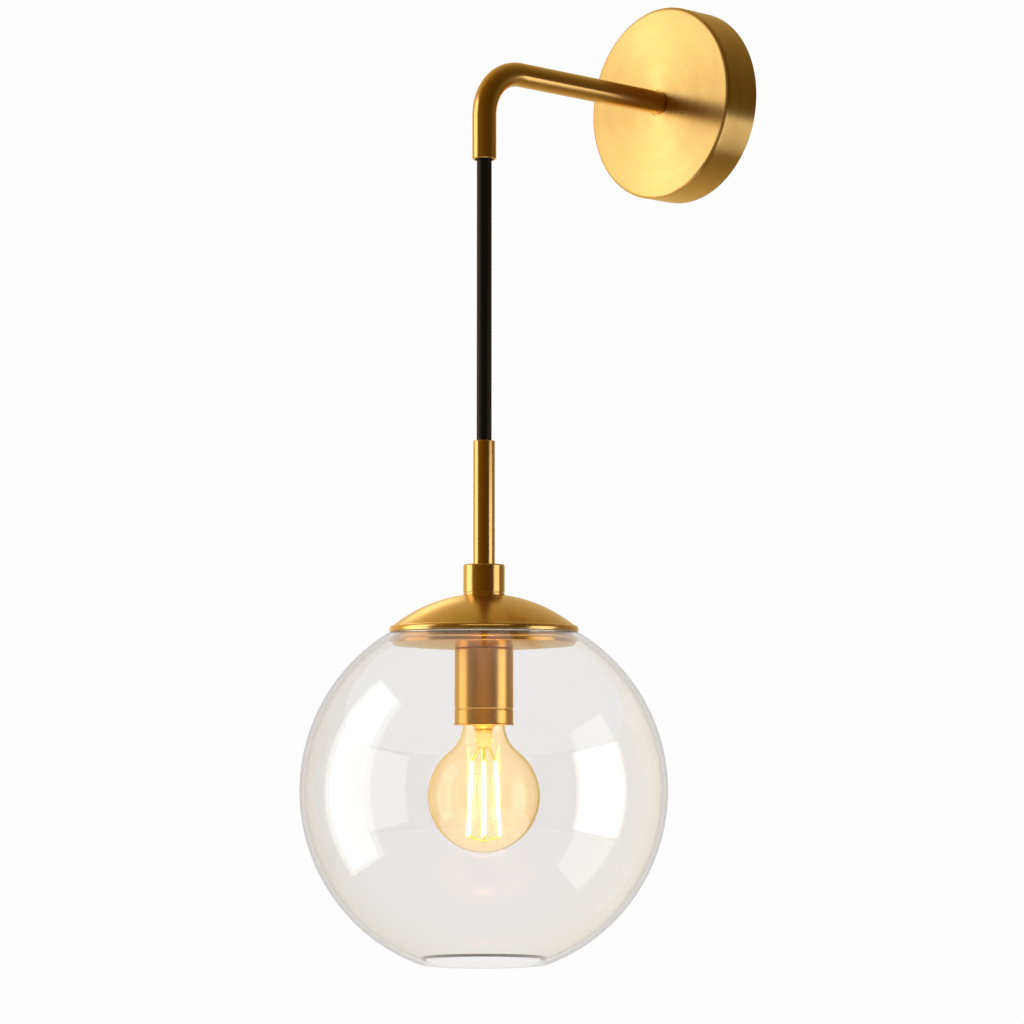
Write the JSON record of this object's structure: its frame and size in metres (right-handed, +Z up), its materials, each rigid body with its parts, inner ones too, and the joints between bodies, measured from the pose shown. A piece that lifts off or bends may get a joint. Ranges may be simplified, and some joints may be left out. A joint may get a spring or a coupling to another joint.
{
  "type": "globe wall sconce",
  "caption": "Wall light with a round brass canopy, a bent tube arm, and a clear glass globe and filament bulb that hang on a black cord under a domed brass cap.",
  "frame": {"origin": "middle of the wall bracket's back face, on the wall plane", "axes": "+Z up, -Y out of the wall towards the room, +X to the right as seen from the room"},
  "size_m": [0.15, 0.195, 0.4108],
  "materials": {
    "brushed_brass": "spin-brushed satin brass, lacquered",
    "turned_brass": "bright turned brass",
    "zinc_steel": "zinc-plated pressed steel",
    "polyamide_block": "natural moulded polyamide",
    "brown_insulation": "brown lead insulation",
    "blue_insulation": "blue lead insulation",
    "green_yellow_insulation": "green and yellow striped insulation",
    "silicone_insulation": "heat-proof silicone insulation",
    "black_cord": "black braided cord",
    "black_nylon": "black moulded nylon",
    "clear_silicone": "translucent silicone",
    "clear_glass": "clear blown glass",
    "lampholder_ceramic": "unglazed white ceramic",
    "amber_glass": "clear glass warmed by the light inside",
    "nickel_plate": "nickel-plated brass and steel",
    "black_vitrite": "black glassy insulator",
    "solder_tip": "solder",
    "glowing_filament": "lit phosphor-coated strip"
  },
  "bodies": {
    "wall_fixture": {"wall_bracket": "zinc_steel", "canopy_cup": "brushed_brass", "canopy_set_screws": "zinc_steel", "earth_screw": "zinc_steel", "earth_ring": "zinc_steel", "terminal_block": "polyamide_block", "terminal_sleeves": "turned_brass", "terminal_screws": "zinc_steel", "block_screw": "zinc_steel", "live_lead": "brown_insulation", "neutral_lead": "blue_insulation", "earth_lead": "green_yellow_insulation", "arm_tube": "brushed_brass", "arm_nipple": "turned_brass", "arm_lock_washer": "zinc_steel", "arm_lock_nut": "turned_brass", "arm_cord": "black_cord", "outlet_bush": "black_nylon"},
    "hanging_cord": {"pendant_cord": "black_cord"},
    "lamp_head": {"stem_tube": "brushed_brass", "stem_bush": "black_nylon", "stem_cord": "black_cord", "stem_collar": "brushed_brass", "hub_nipple": "turned_brass", "shade_cap": "brushed_brass", "cap_seal": "clear_silicone", "hub_spacer": "turned_brass", "gallery_plate": "brushed_brass", "shade_spring_ring": "turned_brass", "glass_globe": "clear_glass", "socket_cup": "brushed_brass", "cup_nut": "turned_brass", "lampholder_body": "lampholder_ceramic", "lampholder_shell": "turned_brass", "contact_tongue": "turned_brass", "holder_leads": "silicone_insulation"},
    "bulb": {"bulb_glass": "amber_glass", "bulb_cap": "nickel_plate", "bulb_insulator": "black_vitrite", "bulb_contact": "solder_tip", "bulb_mount": "amber_glass", "filaments": "glowing_filament", "filament_supports": "nickel_plate"}
  },
  "joints": [
    {"name": "cord_side_swing", "type": "hinge", "parent": "wall_fixture", "child": "hanging_cord", "pos_m": [0, -0.12, -0.0385], "axis": [0, 1, 0], "range_deg": [-25, 25]},
    {"name": "lamp_fore_aft_swing", "type": "hinge", "parent": "hanging_cord", "child": "lamp_head", "pos_m": [0, -0.12, -0.1555], "axis": [1, 0, 0], "range_deg": [-30, 17]},
    {"name": "bulb_withdrawal", "type": "slide", "parent": "lamp_head", "child": "bulb", "axis": [0, 0, -1], "range_m": [0, 0.122]}
  ]
}
